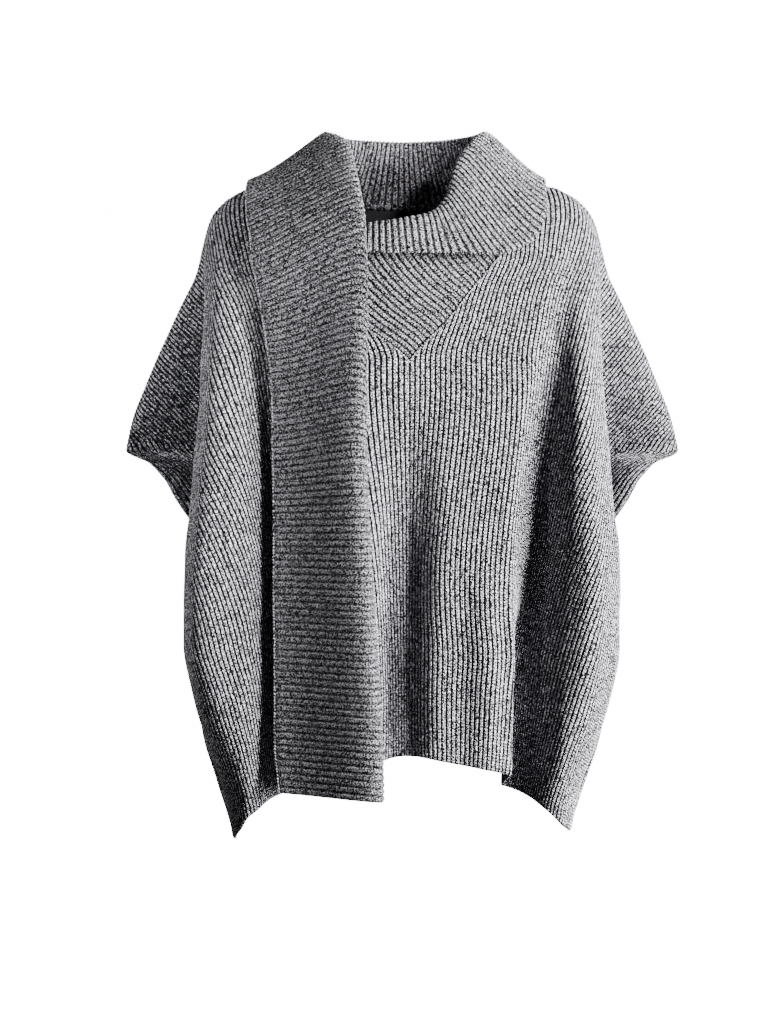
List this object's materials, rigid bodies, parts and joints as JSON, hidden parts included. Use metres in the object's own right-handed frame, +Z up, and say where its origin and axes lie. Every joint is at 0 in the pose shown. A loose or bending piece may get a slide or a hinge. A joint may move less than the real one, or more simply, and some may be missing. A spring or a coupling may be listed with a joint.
{
  "type": "knitted poncho sweater",
  "caption": "Grey ribbed poncho sweater with batwing sleeves, a filled V neck and a shawl collar that runs on into a hanging scarf end.",
  "frame": {"origin": "middle of the neck's base, level with the seam under the collar", "axes": "+Z up, -Y to the front, +X to the wearer's left"},
  "size_m": [0.5924, 0.2697, 0.7614],
  "materials": {
    "yarn": "soft grey melange wool-blend rib knit",
    "label": "black woven satin, bare"
  },
  "bodies": {
    "root": {"front_panel": "yarn", "back_panel": "yarn", "collar_inset": "yarn", "collar_roll": "yarn", "scarf_end": "yarn", "neck_label": "label"}
  },
  "joints": []
}
